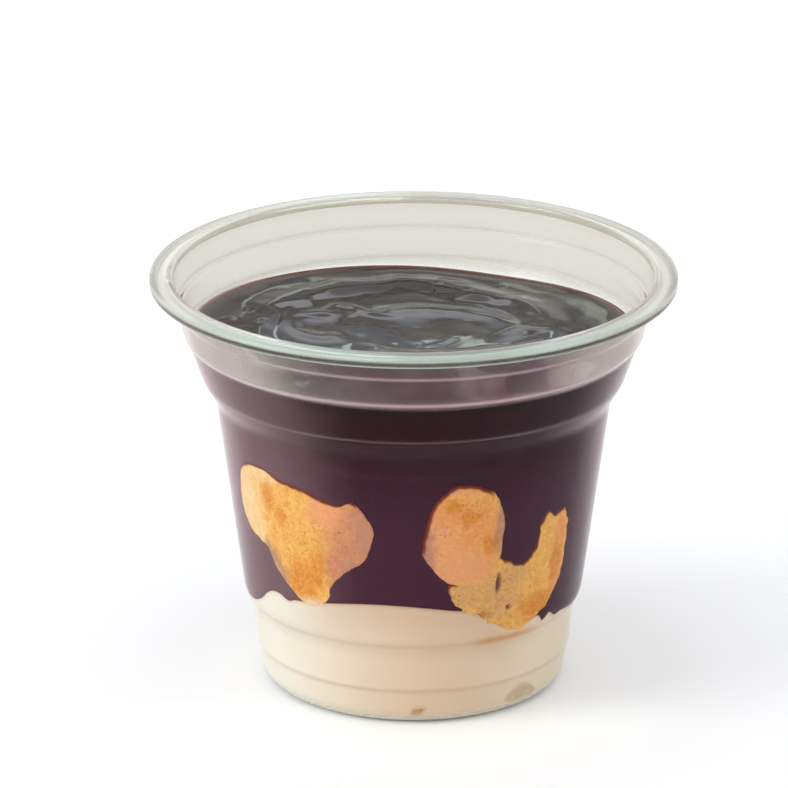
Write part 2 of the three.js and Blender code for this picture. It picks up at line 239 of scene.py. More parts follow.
# A pair is where a look starts and ends its fade, and two pairs are where it comes up and goes again.
# Angles are degrees from the front, and heights and radii are millimetres.
FRONT_HALF = (80, 100)                      # the cup's front half ends
SHEEN_SIDES = (22, 50)                     # the bare wall turns cloudy towards its sides: painted sheen, on the front half
LIT_CLOUDY_FOOT = (0.6, 3.6)                    # the cloudy foot clears; its milk is also painted light over the contact shadow
FILM_MIDDLE = 8                             # the film of sauce: its middle, its sides and its top
FILM_SIDES = (15, 52)
FILM_TOP = (73, 75)
SHOULDER_SHADE_HEIGHTS = (50.5, 54.5), (57.0, 57.7)  # painted shade on the shoulder
SHOULDER_SHADE_SIDES = (12, 34)
SHEEN_HEIGHTS = (15, 50)                    # the sheen at the cup's edge grows; the dimmer sheen below is painted shade
RIM_EDGE = (43.3, 44.5)                     # radii where the wall turns into the rim, then the lip
LIP_EDGE = (RIM_RADIUS - 1.5, RIM_RADIUS - 0.9)
MINT_SIDES = (35, 80)                       # the rim's cool front ends
# The lip's painted lines, measured down from the top: a line of painted shade and one of painted highlight
# as depth and half width, and the end of the painted highlight on its top. Then the sides of the lip where a
# highlight is painted.
LIP_SHADE_BAND = (1.25, 0.20)
LIP_HIGHLIGHT_BAND = (1.85, 0.35)
LIP_TOP_HIGHLIGHT = (0.5, 0.9)
LIP_HIGHLIGHT_SIDES = (15, 35), (60, 90)

PAINTED_LIGHT_SIDES = (14, 48), (80, 115)            # painted light on the left side of the sauce
SHADED_HIGH_SAUCE = (38, 60)                       # the sauce turns to its darker, higher colour: painted shade towards its top
THIN_SAUCE = 0.5                            # reach of the thin, redder sauce at the wall
CREAM_LIT_LEFT = (-5, 60), (120, 160)           # the cream whitened by painted light on the left, and the cooler cream
CREAM_RIGHT = (15, 55), (120, 160)
# Lines of painted shade in the cream where the wall's steps press it: height, half width, share.
CREASE_SHADES = [(16.2, 0.42, 0.28), (6.9, 0.42, 0.28)]
BORDER_SHADE = (0.25, 0.7)                 # painted shade along the sauce: reach, share
SHADE = (-9, -2)                            # heights from the sauce's edge where its shade comes up
SHADE_SIDES = (20, 50)
SHADE_SHARE = 0.24
# Brown smears under the choux: angle, half width, height, half width, share.
SMEARS = [(33, 12, 16.3, 0.7, 0.9), (36, 14, 16.2, 2.2, 0.30)]

# Colours and shares of the crumb's light grain, its dark grain and its brown specks.
GRAINS = (srgb(255, 218, 134), 0.26), (srgb(180, 98, 44), 0.30), (srgb(202, 112, 44), 0.38)
PORE_SHADE = srgb(110, 62, 36)
LAMP_TINT = (0.97, 0.965, 0.955)            # lamp light that has passed the plastic

# ---- the room that the sauce mirrors, and the floor ----

# The light behind the cup from low to high: directions by the sine of their height, and what it turns to
# between two of them. The window stands between directions across, to the left, and up.
ROOM = (1.13, 1.11, 1.10)
ROOM_BEHIND = (0.35, 0.75)
ROOM_LOW = (0.95, 0.97, 1.0)
ROOM_BANDS = [
    ((0.22, 0.30), (0.52, 0.56, 0.62)), ((0.34, 0.57), (1.9, 1.98, 2.05)), ((0.57, 0.64), (0.95, 0.97, 1.0)),
]
WINDOW = (2.0, 2.3, 2.2)
WINDOW_ACROSS = (0.001, 0.004), (0.022, 0.030)
WINDOW_UP = (0.22, 0.26), (0.40, 0.44)

# The left softbox: degrees round from the front and up, its distance and its width in metres.
KEY_PLACE = (-68, 29, 1.2, 0.6)

# The floor's section as radius and height, and its steps once round.
FLOOR_SECTION = [(0, 0), (1, 0), (40, 0), (3000, 0), (3000, -20), (0, -20)]
FLOOR_TURNS = 96

# Painted light: the floor is a little whiter right in front of the foot, over the cup's shadow there: places
# along Y and reaches, in metres.
WHITE_FLOOR = (0.96, 1.0, 1.0)
FLOOR_PATCH = (0.8, 0.8, 0.8)
WHITE_AHEAD = (-0.026, -0.010)
WHITE_REACH = (0.036, 0.062)

# ---- the camera, from the photograph's frame ----

FRAME_PIXELS = 788
AXIS_PIXEL = 413.5              # the cup's axis, across
TARGET_PIXEL = 464.3            # the aim point's height in the frame
FOCAL_PIXELS = 6612.5
SENSOR = 36.0


# ---- what a user would change ----

def colour_property(name, description, default):
    return bpy.props.FloatVectorProperty(
        name=name, description=description, default=default, subtype="COLOR", size=3, min=0, max=1)


def length_property(name, description, default):
    return bpy.props.FloatProperty(
        name=name, description=description, default=default * MM, subtype="DISTANCE", unit="LENGTH",
        precision=5)


def factor_property(name, description, default):
    return bpy.props.FloatProperty(
        name=name, description=description, default=default, min=0, max=1, subtype="FACTOR")


class CupLook(bpy.types.PropertyGroup):
    """The clear plastic cup."""
    wet: colour_property("Wet plastic", "Colour of the wall against a filling", srgb(250, 249, 247))
    bare: colour_property("Bare plastic", "Colour of the wall above the fillings", srgb(214, 211, 202))
    film: colour_property("Film", "Thin film of sauce on the wall above the chocolate", srgb(126, 84, 98))
    milk_light_and_shade: colour_property("Milk", "Cloudy plastic", srgb(226, 224, 214))
    blush: colour_property("Blush", "Cloudy plastic in front of the sauce", srgb(236, 200, 207))
    mint: colour_property("Mint", "Cloudy plastic on the front of the rolled rim", srgb(206, 224, 216))
    # Dull is painted shade: it darkens the milk on the shoulder and along the lip's shade line
    dull: colour_property("Dull", "Scuffed plastic on the shoulder", srgb(60, 34, 43))
    # Line: painted shade in the wall's tint along the rings and lip
    line: colour_property("Line", "Colour of the wall along its rings and lip", srgb(180, 187, 181))
    rim_milk: factor_property("Rim milk", "Cloudiness of the rim", 0.35)
    wall_milk: factor_property("Wall milk", "Cloudiness of the bare wall", 0.05)
    # How strong the painted highlight along the rings is
    ring_highlight: factor_property("Ring milk", "Cloudiness of the stacking rings", 0.45)
    # Painted sheen on the bare wall's sides, on the front half only
    side_sheen: factor_property("Side milk", "Cloudiness of the bare wall's sides", 0.30)
    # Cloudy foot, also painted light over the contact shadow
    foot_milk_and_light: factor_property("Foot milk", "Cloudiness of the foot", 0.5)
    # How strong the painted shade on the shoulder is
    shoulder_shade: factor_property("Scuff", "Strength of the scuffed shoulder", 0.5)
    # Painted highlights and a painted shade line on the rolled lip
    lip_highlight: factor_property("Bright line", "Cloudiness of the lip's bright line", 0.7)
    lip_shade: factor_property("Dull line", "Cloudiness of the lip's dull line", 0.35)
    lip_top_highlight: factor_property("Lip top", "Cloudiness of the top of the lip", 0.25)
    lip_side_highlight: factor_property("Lip sides", "Cloudiness added where the lip's sides catch light", 0.22)
    sheen: factor_property("Sheen", "Cloudiness of the wall where it is seen edge on", 0.26)
    ior: bpy.props.FloatProperty(
        name="Refraction", description="Index of refraction", default=1.22, min=1, max=2)
    ripple: length_property("Ripple", "Unevenness of the drawn wall", 0.02)


class FillingLook(bpy.types.PropertyGroup):
    """The vanilla cream and the chocolate sauce."""
    cream: colour_property("Cream", "Cream against the wall", srgb(223, 201, 175))
    # Painted light: the cream whitened on its left side
    cream_lit: colour_property("Light cream", "Whiter cream at the left", srgb(230, 226, 213))
    cream_right: colour_property("Cool cream", "Cooler cream at the right", srgb(228, 216, 194))
    cream_patch: colour_property("Patches", "Darker patches of the cream", srgb(220, 190, 156))
    # Painted shade along the cream's creases and the sauce's edge
    crease_shade: colour_property("Crease", "Cream where the wall's steps press it", srgb(186, 146, 114))
    smear: colour_property("Smear", "Cream that choux has browned", srgb(206, 144, 90))
    chocolate: colour_property("Chocolate", "Sauce against the wall", (0.058, 0.016, 0.033))
    # Painted shade: the sauce darker near its top
    chocolate_high_shade: colour_property(
        "High chocolate", "Sauce against the wall near its top", (0.021, 0.002, 0.006))
    chocolate_top: colour_property("Chocolate top", "Sauce on the open top", (0.012, 0.006, 0.006))
    chocolate_thin: colour_property("Thin chocolate", "Sauce that climbs the wall", srgb(120, 60, 42))
    # Painted light: a pale wash on the sauce's left side, and how far it goes
    painted_light: colour_property("Haze", "What the lit left side of the sauce turns to", srgb(236, 198, 202))
    painted_light_share: factor_property("Haze share", "How far the left side of the sauce turns to it", 0.14)
    swirl: factor_property("Swirl", "Strength of the poured swirl", 1.0)
    meniscus: length_property("Meniscus", "How far the sauce climbs the wall", 0.45)


class ChouxLook(bpy.types.PropertyGroup):
    """The choux buns."""
    crumb: colour_property("Crumb", "Open orange crumb", srgb(234, 184, 97))
    crust: colour_property("Crust", "Darker crumb in between", srgb(215, 140, 68))
    toasted: colour_property("Toasted", "Deeper orange spots", srgb(214, 138, 50))
    fringe: colour_property("Fringe", "Pale fringe with cream on it", srgb(180, 140, 110))
    pale: colour_property("Pale", "Pale, thin crust", srgb(234, 203, 148))
    pink: colour_property("Pink", "Smooth crust seen through sauce", srgb(200, 132, 104))
    rosy: colour_property("Rosy", "Lighter smooth crust", srgb(230, 162, 116))
    brown: colour_property("Brown", "Baked crust", srgb(232, 154, 92))
    soaked: colour_property("Soaked", "Crumb soaked in sauce", srgb(212, 164, 108))
    # Also painted shadow at the right bun's right edge
    lilac_and_shade: colour_property("Lilac", "Thin flap with sauce behind it", srgb(190, 136, 110))
    olive: colour_property("Olive", "Dull spots", srgb(192, 136, 72))
    creamed: colour_property("Creamed", "Choux under a film of cream", srgb(232, 206, 170))
    sunken: colour_property("Sunken", "Bits of choux under the cream", srgb(202, 188, 158))
    sunken_crust: colour_property("Sunken crust", "Crust of the bits under the cream", srgb(188, 164, 128))
    rim: colour_property("Rim", "Thin dark edge of a bun", srgb(118, 38, 16))
    sunken_rim: colour_property("Sunken rim", "Thin edge of a bit under the cream", srgb(222, 200, 172))
    grit: factor_property("Grit", "Strength of the fine specks on the buns", 0.8)
    sunken_grit: factor_property("Sunken grit", "Strength of the specks under the cream", 0.4)
    relief: length_property("Relief", "Depth of the crumb's bumps", 0.10)
    pore: length_property("Pore", "Depth of the crumb's pores", 0.35)


class StageLook(bpy.types.PropertyGroup):
    """Floor, light and camera."""
    elevation: bpy.props.FloatProperty(
        name="View elevation", description="How far the camera looks down", default=math.radians(20.34),
        subtype="ANGLE", unit="ROTATION")
    distance: length_property("View distance", "From the aim point to the camera", 1200.0)
    aim_height: length_property("Aim height", "Height of the aim point on the axis", 40.0)
    floor: colour_property("Floor", "Plain pale floor", (0.885, 0.90, 0.92))
    key: bpy.props.FloatProperty(name="Key light", description="Power of the left softbox", default=4.2)
    glow: bpy.props.FloatProperty(name="Room light", description="Strength of the even light", default=1.03)


GROUPS = {"dessert_cup": CupLook, "dessert_filling": FillingLook, "dessert_choux": ChouxLook,
          "dessert_stage": StageLook}

# ---- noise ----


def lattice_keys(cells, size):
    """A table index for each whole-number lattice cell: its coordinates times large primes, joined."""
    return (cells[..., 0] * 73856093 ^ cells[..., 1] * 19349663 ^ cells[..., 2] * 83492791) % size


def noise(points, seed):
    """Value noise from -1 to 1: random numbers at the lattice's corners, blended by smooth steps."""
    table = np.random.default_rng(seed).uniform(-1, 1, 4093)
    cells = np.floor(points).astype(np.int64)
    part = points - cells
    part = part * part * (3 - 2 * part)
    total = np.zeros(points.shape[:-1])
    for corner in itertools.product((0, 1), repeat=3):
        weight = np.prod(np.where(np.array(corner) == 1, part, 1 - part), axis=-1)
        total += weight * table[lattice_keys(cells + np.array(corner), len(table))]
    return total


def fractal(points, octaves, seed):
    """Noise summed over octaves, each twice as fine and half as strong as the one before."""
    total = np.zeros(points.shape[:-1])
    for octave in range(octaves):
        total += noise(points * 2 ** octave, seed + octave) / 2 ** octave
    return total


def cell_distance(points, seed):
    """Distance to the nearest of the random points that stand one in each lattice cell."""
    table = np.random.default_rng(seed).random((4093, 3))
    cells = np.floor(points).astype(np.int64)
    nearest = np.full(points.shape[:-1], 9.0)
    for offset in itertools.product((-1, 0, 1), repeat=3):
        cell = cells + np.array(offset)
        seeds = cell + table[lattice_keys(cell, len(table))]
        nearest = np.minimum(nearest, np.linalg.norm(points - seeds, axis=-1))
    return nearest


def smooth(value, low, high):
    """A smooth step from 0 at low to 1 at high."""
    t = np.clip((value - low) / (high - low), 0, 1)
    return t * t * (3 - 2 * t)


def between(value, rise, fall):
    """A smooth step up over one span of values, times a smooth step down over another."""
    return smooth(value, *rise) * (1 - smooth(value, *fall))


def bell(value, middle, width):
    """A bell about a middle: e to the power of minus the squared distance, in half widths."""
    return np.exp(-((value - middle) / width)**2)


# ---- curves ----


def around(points, degrees):
    """A smooth closed curve of one height per angle: cubic between the points, with each point's slope
    taken from its two neighbours."""
    known = np.array(points)
    extended = np.vstack([known[-2:] - (360, 0), known, known[:2] + (360, 0)])
    turned = (degrees - known[0, 0]) % 360 + known[0, 0]
    i = np.searchsorted(known[:, 0], turned, side="right") + 1
    (x0, y0), (x1, y1), (x2, y2), (x3, y3) = (
        np.moveaxis(extended[i + k], -1, 0) for k in (-1, 0, 1, 2))
    t = (turned - x1) / (x2 - x1)
    m1 = (y2 - y0) / (x2 - x0) * (x2 - x1)
    m2 = (y3 - y1) / (x3 - x1) * (x2 - x1)
    return ((2 * t**3 - 3 * t**2 + 1) * y1 + (t**3 - 2 * t**2 + t) * m1
            + (3 * t**2 - 2 * t**3) * y2 + (t**3 - t**2) * m2)


def through(points, t, closed):
    """A centripetal curve through the points at parameters 0 to 1: cubic between two points, its
    tangents weighed by the square roots of the distances."""
    known = np.array(points, float)
    if closed:
        extended = np.vstack([known[-1:], known, known[:2]])
        spans = len(known)
    else:
        extended = np.vstack([2 * known[:1] - known[1:2], known, 2 * known[-1:] - known[-2:-1]])
        spans = len(known) - 1
    position = np.clip(t * spans, 0, spans - 1e-9)
    i = np.floor(position).astype(int)
    u = (position - i)[:, None]
    p0, p1, p2, p3 = (extended[i + k] for k in range(4))
    d0, d1, d2 = (np.sqrt(np.linalg.norm(b - a, axis=1))[:, None]
                  for a, b in ((p0, p1), (p1, p2), (p2, p3)))
    m1 = ((p1 - p0) / d0 - (p2 - p0) / (d0 + d1) + (p2 - p1) / d1) * d1
    m2 = ((p2 - p1) / d1 - (p3 - p1) / (d1 + d2) + (p3 - p2) / d2) * d1
    return ((2 * u**3 - 3 * u**2 + 1) * p1 + (u**3 - 2 * u**2 + u) * m1
            + (3 * u**2 - 2 * u**3) * p2 + (u**3 - u**2) * m2)


def rounded(corners, steps=5):
    """A chain of (radius, height, rounding) corners with each corner cut back by its rounding along
    both sides and replaced by a parabola between the two cuts. The ends stay."""
    chain = np.array(corners, float)
    at, cut = chain[:, :2], chain[:, 2]
    side = np.diff(at, axis=0)
    length = np.linalg.norm(side, axis=1)
    back = np.minimum(cut[1:-1], 0.45 * length[:-1]) / length[:-1]
    ahead = np.minimum(cut[1:-1], 0.45 * length[1:]) / length[1:]
    before = at[1:-1] - side[:-1] * back[:, None]
    after = at[1:-1] + side[1:] * ahead[:, None]
    t = np.linspace(0, 1, steps)[None, :, None]
    bends = (1 - t)**2 * before[:, None] + 2 * t * (1 - t) * at[1:-1, None] + t**2 * after[:, None]
    kept = bends.reshape(-1, 2)
    joined = np.vstack([at[:1], kept, at[-1:]])
    apart = np.linalg.norm(np.diff(joined, axis=0), axis=1) > 1e-4
    return joined[np.concatenate([[True], apart])]


# ---- the cup's profile ----


def heel(steps=10):
    """The heel from the foot up to the wall: a quarter ellipse, as (radius, height, rounding)."""
    angle = np.linspace(0, math.pi / 2, steps)
    radius = FOOT_RADIUS + HEEL_WIDTH * np.sin(angle)
    return list(zip(radius, HEEL_HEIGHT * (1 - np.cos(angle)), np.full(steps, 0.3)))


OUTER = rounded(heel() + [(radius, height, cut) for height, radius, cut in WALL_CORNERS])


def wall_radius(height):
    """Outer radius of the wall at a height, along the rounded profile."""
    return np.interp(height, OUTER[:, 1], OUTER[:, 0])


def floor_chain(lift):
    """The floor from the axis to the foot ring, raised by lift, as (radius, height, rounding)."""
    inside = FOOT_RADIUS - FOOT_WIDTH
    return [(0, FOOT_RISE + lift, 0), (inside - FOOT_SLOPE, FOOT_RISE + lift, 0.4), (inside, lift, 0.4)]


def rim_chain():
    """The rolled rim: out under the flange, round the lip and back over the top."""
    outer, top = RIM_RADIUS, CUP_HEIGHT
    neck = WALL_CORNERS[-1][1]
    inner_lip = outer - LIP_THICKNESS
    under = top - FLANGE_THICKNESS
    return [
        (neck + FLANGE_THICKNESS, under, 0.5), (inner_lip, under, 0.2),
        (inner_lip, top - LIP_DROP + 0.25, 0.2), (outer - LIP_THICKNESS / 2, top - LIP_DROP, 0.25),
        (outer, top - LIP_DROP + 0.25, 0.25), (outer, top, 0.75),
        (neck - WALL, top, 0.7), (neck - WALL, top - LIP_DROP, 0.3),
    ]


def cup_profile():
    """The cup's whole section: floor, heel and wall outside, the rim, then the same back inside."""
    outside = rounded(floor_chain(0) + [(FOOT_RADIUS, 0, 0.3)])
    rim = rounded([(*OUTER[-1], 0)] + rim_chain())
    inner_wall = OUTER[::-1] - (WALL, 0)
    inner_wall = inner_wall[(inner_wall[:, 1] < CUP_HEIGHT - LIP_DROP - 0.2) & (inner_wall[:, 1] > WALL)]
    inside = rounded([(wall_radius(WALL) - WALL, WALL, 0)] + floor_chain(WALL)[::-1])
    return np.vstack([outside, OUTER[1:], rim[1:], inner_wall, inside])


def refined(profile, longest, shortest=0.02):
    """The profile with its long sides divided, so that no step is longer than longest, and without the
    points that stand closer than shortest."""
    length = np.concatenate([[0], np.cumsum(np.linalg.norm(np.diff(profile, axis=0), axis=1))])
    extra = np.arange(0, length[-1], longest)
    stations = np.unique(np.concatenate([length, extra]))
    stations = stations[np.concatenate([[True], np.diff(stations) > shortest])]
    return np.column_stack([np.interp(stations, length, profile[:, k]) for k in (0, 1)])


# ---- meshes ----


def polar(radius, degrees, height):
    """Points at a distance from the axis, an angle from the front and a height."""
    angle = np.radians(degrees)
    parts = radius * np.sin(angle), -radius * np.cos(angle), height
    return np.stack(np.broadcast_arrays(*parts), axis=-1)


def on_wall(degrees, height, depth):
    """A point that lies depth inside the outer wall at an angle and a height."""
    return polar(wall_radius(height) - depth, degrees, height)


def shell(name, points, first=None):
    """A closed surface of rings: quads between neighbouring points of neighbouring rings, each ring
    joined to itself. The first ring shrinks to one point, or is zipped where first pairs its points,
    and the last does the same."""
    rows, columns = points.shape[:2]
    index = np.arange(rows * columns).reshape(rows, columns)
    pairs = np.zeros(columns, int) if first is None else first
    index[0] = index[0][pairs]
    index[-1] = index[-1][pairs]
    ahead = np.roll(index, -1, axis=1)
    corners = np.stack([index[:-1], ahead[:-1], ahead[1:], index[1:]], axis=-1).reshape(-1, 4)
    used, corners = np.unique(corners, return_inverse=True)
    corners = corners.reshape(-1, 4)
    faces = [list(dict.fromkeys(face)) for face in corners.tolist()]
    mesh = bpy.data.meshes.new(name)
    mesh.from_pydata((points.reshape(-1, 3)[used] * MM).tolist(), [], [f for f in faces if len(f) > 2])
    mesh.polygons.foreach_set("use_smooth", np.ones(len(mesh.polygons), bool))
    mesh.update()
    piece = bpy.data.objects.new(name, mesh)
    bpy.context.scene.collection.objects.link(piece)
    return piece, used


def attach(piece, used, masks):
    """Stores each mask, one value per grid point, as a point attribute of the piece."""
    for name, values in masks.items():
        layer = piece.data.attributes.new(name, "FLOAT", "POINT")
        layer.data.foreach_set("value", values.reshape(-1)[used].astype(np.float32))


def from_front(points):
    """Each point's angle round from the front, -180 to 180 degrees."""
    return np.degrees(np.arctan2(points[..., 0], -points[..., 1]))


def turned(profile, turns):
    """The profile of (radius, height) turned about the axis, as a grid of points."""
    return polar(profile[:, 0, None], np.arange(turns) * 360 / turns, profile[:, 1, None])


def place(piece, slot, materials, *nodes):
    """Gives a piece its materials, its body and the nodes that it stands for. The slot is not used."""
    for material in materials:
        piece.data.materials.append(material)
    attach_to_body(piece, "root")
    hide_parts(*nodes)


# ---- the cup ----

CUP_STEP = 1.6                  # longest and shortest step along the drawn profile, and steps once round
CUP_SHORTEST = 0.09
CUP_TURNS = 300


def cup_points(look):
    """The cup's profile turned about its axis. Above the heel, slow noise moves the wall in and out."""
    points = turned(refined(cup_profile(), CUP_STEP, CUP_SHORTEST), CUP_TURNS)
    uneven = look.ripple / MM * fractal(points / (7, 7, 14), 2, 51)
    outward = points[..., :2] / np.maximum(np.hypot(points[..., 0], points[..., 1]), 1)[..., None]
    points[..., :2] += outward * (uneven * smooth(points[..., 2], 4, 12))[..., None]
    return points


def cup_masks(points, look):
    """The cup's looks at each point, from 0 to 1, as products of smooth steps in angle, height and
    radius: where the plastic is bare, blushes from the sauce behind it, is darkened by painted shade, cool,
    shiny, lined with painted highlights and shade or filmed with sauce, and how milky it is, which is the
    greatest of its milky looks there. Part of the milk is painted highlight, sheen and light."""
    angle, z = from_front(points), points[..., 2]
    side, radius = np.abs(angle), np.hypot(points[..., 0], points[..., 1])
    sauce_edge, cream_edge = around(CHOCOLATE_LINE, angle), around(CREAM_LINE, angle)
    bare, above_cream = smooth(z - sauce_edge, 0, 1), smooth(z - cream_edge, -0.5, 0.5)
    wall, lip = 1 - smooth(radius, *RIM_EDGE), smooth(radius, *LIP_EDGE)
    ahead = 1 - smooth(side, *FRONT_HALF)
    front = 1 - smooth(np.abs(angle - FILM_MIDDLE), *FILM_SIDES)
    # Painted shade on the shoulder
    shaded = between(z, *SHOULDER_SHADE_HEIGHTS) * (1 - smooth(side, *SHOULDER_SHADE_SIDES))
    below_top = CUP_HEIGHT - z
    # Painted shade line and painted highlights on the lip
    lip_shade_line = lip * bell(below_top, *LIP_SHADE_BAND)
    lit = look.lip_highlight * bell(below_top, *LIP_HIGHLIGHT_BAND) + look.lip_top_highlight * (1 - smooth(below_top, *LIP_TOP_HIGHLIGHT))
    lit += look.lip_side_highlight * between(side, *LIP_HIGHLIGHT_SIDES)
    # Painted highlight and shade lines along the rings
    ring = sum(part * bell(z, height, width) for height, width, part in PAINTED_RING_LINES)
    # The milky share: real cloud, with painted highlights, sheen, light and shade among its parts
    milk_light_and_shade = np.maximum.reduce([
        look.rim_milk * (1 - wall) * (1 - 0.75 * lip),
        look.wall_milk * bare,
        # Painted sheen at the bare wall's sides
        look.side_sheen * bare * wall * smooth(side, *SHEEN_SIDES) * ahead,
        # Cloudy foot and painted light over the contact shadow
        look.foot_milk_and_light * (1 - smooth(z, *LIT_CLOUDY_FOOT)),
        look.ring_highlight * ring * wall,
        look.shoulder_shade * shaded,
        # Painted highlights on the lip
        lip * lit,
        # Painted shade line on the lip's front
        look.lip_shade * lip_shade_line * ahead,
    ])
    return {
        "milk_light_and_shade": milk_light_and_shade,
        "bare": bare,
        "blush": above_cream * wall * (1 - bare * (1 - ahead * (0.4 + 0.3 * front))),
        # Where painted shade darkens the milk: the shoulder and the lip's shade line
        "dull": np.maximum(shaded, 0.5 * lip_shade_line * ahead),
        "mint": (1 - wall) * (1 - smooth(side, *MINT_SIDES)),
        # The sheen is dimmed towards the bottom as painted shade
        "sheen": (1 - bare) * (1 - shaded) * (0.1 + 0.9 * smooth(z, *SHEEN_HEIGHTS)),
        # Where the tint takes the painted shade lines of the rings and lip
        "ring": np.maximum(0.7 * ring * wall, 0.8 * lip),
        "film": front * smooth(z - sauce_edge, -0.5, 0) * (1 - smooth(z, *FILM_TOP)),
    }


# ---- shaders ----


class Socket:
    """One shader value. Arithmetic on it adds the Math nodes that work it out."""

    def __init__(self, tree, socket):
        self.tree = tree
        self.socket = socket

    def math(self, operation, *values):
        return self.tree.node("ShaderNodeMath", {"operation": operation}, dict(enumerate(values)))

    def __add__(self, other):
        return self.math("ADD", self, other)

    __radd__ = __add__

    def __sub__(self, other):
        return self.math("SUBTRACT", self, other)

    def __rsub__(self, other):
        return self.math("SUBTRACT", other, self)

    def __mul__(self, other):
        return self.math("MULTIPLY", self, other)

    __rmul__ = __mul__


class Tree:
    """A material's or the world's node tree, filled one node at a time."""

    def __init__(self, owner):
        owner.use_nodes = True
        self.nodes = owner.node_tree.nodes
        self.links = owner.node_tree.links
        self.nodes.clear()

    def node(self, kind, settings=None, sockets=None, output=0):
        """Adds a node: its settings first, then a value or a link for each named or numbered socket."""
        node = self.nodes.new(kind)
        for key, value in (settings or {}).items():
            setattr(node, key, value)
        for key, value in (sockets or {}).items():
            if isinstance(value, Socket):
                self.links.new(value.socket, node.inputs[key])
            else:
                node.inputs[key].default_value = value
        return Socket(self, node.outputs[output]) if len(node.outputs) else node

    def blend(self, factor, first, second):
        """A colour between two, by a Mix node. Colours are links or linear triples."""
        full = [c if isinstance(c, Socket) else (*c, 1) for c in (first, second)]
        return self.node("ShaderNodeMix", {"data_type": "RGBA"}, {0: factor, 6: full[0], 7: full[1]}, 2)

    def step(self, value, low, high):
        """A smooth step from 0 at low to 1 at high."""
        settings = {"interpolation_type": "SMOOTHSTEP"}
        sockets = {"Value": value, "From Min": low, "From Max": high}
        return self.node("ShaderNodeMapRange", settings, sockets)

    def between(self, value, rise, fall):
        """A smooth step up over one span of values, times a smooth step down over another."""
        return self.step(value, *rise) * (1 - self.step(value, *fall))

    def place(self):
        """Object coordinates."""
        return self.node("ShaderNodeTexCoord", output="Object")

    def part(self, vector, axis):
        """One of a vector's three parts."""
        return self.node("ShaderNodeSeparateXYZ", {}, {0: vector}, axis)

    def mask(self, name):
        """A point attribute of the piece."""
        return self.node("ShaderNodeAttribute", {"attribute_name": name}, output=2)

    def grain(self, size, detail=3, roughness=0.5):
        """Noise from 0 to 1 with features of a size in millimetres, on Object coordinates."""
        scale = 1 / (size * MM)
        sockets = {"Vector": self.place(), "Scale": scale, "Detail": detail, "Roughness": roughness}
        return self.node("ShaderNodeTexNoise", {}, sockets)

    def bump(self, height, distance):
        """The normal that a height field of a depth in millimetres gives."""
        sockets = {"Height": height, "Distance": distance * MM, "Strength": 1.0}
        return self.node("ShaderNodeBump", {}, sockets)

    def principled(self, **sockets):
        """A Principled shader; underscores in socket names stand for spaces."""
        named = {key.replace("_", " "): value for key, value in sockets.items()}
        return self.node("ShaderNodeBsdfPrincipled", {}, named)

    def surface(self, shader):
        """The shader that the material shows."""
        self.node("ShaderNodeOutputMaterial", {}, {"Surface": shader})


def new_material(name):
    material = bpy.data.materials.new(name)
    return material, Tree(material)


def clear_plastic(look):
    """Thin clear plastic, with a film of sauce above the chocolate, that turns milky at the rim and where
    it is seen edge on, and shows painted highlights and shade along its rings, lip and shoulder. It lets
    lamp light through to what is inside."""
    material, tree = new_material("clear_plastic")
    film = tree.mask("film") * (0.8 + 0.2 * tree.step(tree.grain(5), 0.35, 0.65))
    tint = tree.blend(tree.mask("bare"), look.wet, look.bare)
    # Painted shade lines along the rings and lip
    tint = tree.blend(tree.mask("ring"), tint, look.line)
    tint = tree.blend(film, tint, look.film)
    clear = tree.principled(Base_Color=tint, Roughness=0.0, IOR=look.ior, Transmission_Weight=1.0)
    milk_light_and_shade = tree.blend(tree.mask("blush"), look.milk_light_and_shade, look.blush)
    milk_light_and_shade = tree.blend(tree.mask("mint"), milk_light_and_shade, look.mint)
    # Painted shade turns the milk dark
    milk_light_and_shade = tree.blend(tree.step(tree.mask("dull"), 0.0, 0.08), milk_light_and_shade, look.dull)
    milky = tree.principled(Base_Color=milk_light_and_shade, Roughness=0.35, Specular_IOR_Level=0.1)
    edge_on = tree.step(tree.node("ShaderNodeLayerWeight", output="Facing"), 0.5, 1.0)
    plastic_mix = tree.mask("milk_light_and_shade") * (0.9 + 0.1 * tree.grain(3)) + look.sheen * edge_on * tree.mask("sheen")
    plastic = tree.node("ShaderNodeMixShader", {}, {0: plastic_mix, 1: clear, 2: milky})
    lamp_light = tree.node("ShaderNodeBsdfTransparent", {}, {"Color": (*LAMP_TINT, 1)})
    is_shadow = tree.node("ShaderNodeLightPath", output="Is Shadow Ray")
    tree.surface(tree.node("ShaderNodeMixShader", {}, {0: is_shadow, 1: plastic, 2: lamp_light}))
    return material


def cream_at_wall(look):
    """Cream pressed against the plastic: matt, in soft patches, whitened on the left by painted light, with
    painted shade along the wall's steps and the sauce's edge, and a brown smear by the choux.
    """
    material, tree = new_material("vanilla_cream")
    # Painted light whitens the cream on the left
    base = tree.blend(tree.mask("left"), look.cream, look.cream_lit)
    base = tree.blend(tree.mask("right"), base, look.cream_right)
    base = tree.blend(0.12 * tree.step(tree.grain(9), 0.35, 0.7), base, look.cream_patch)
    # Painted shade in the creases and along the sauce's edge
    crease_shaded = tree.blend(tree.mask("crease_shade"), base, look.crease_shade)
    streaks = tree.mask("smear") * (0.4 + 0.6 * tree.grain(2))
    smeared = tree.blend(streaks, crease_shaded, look.smear)
    normal = tree.bump(tree.grain(3), 0.08)
    tree.surface(tree.principled(Base_Color=smeared, Roughness=0.6, Specular_IOR_Level=0.1, Normal=normal))
    return material


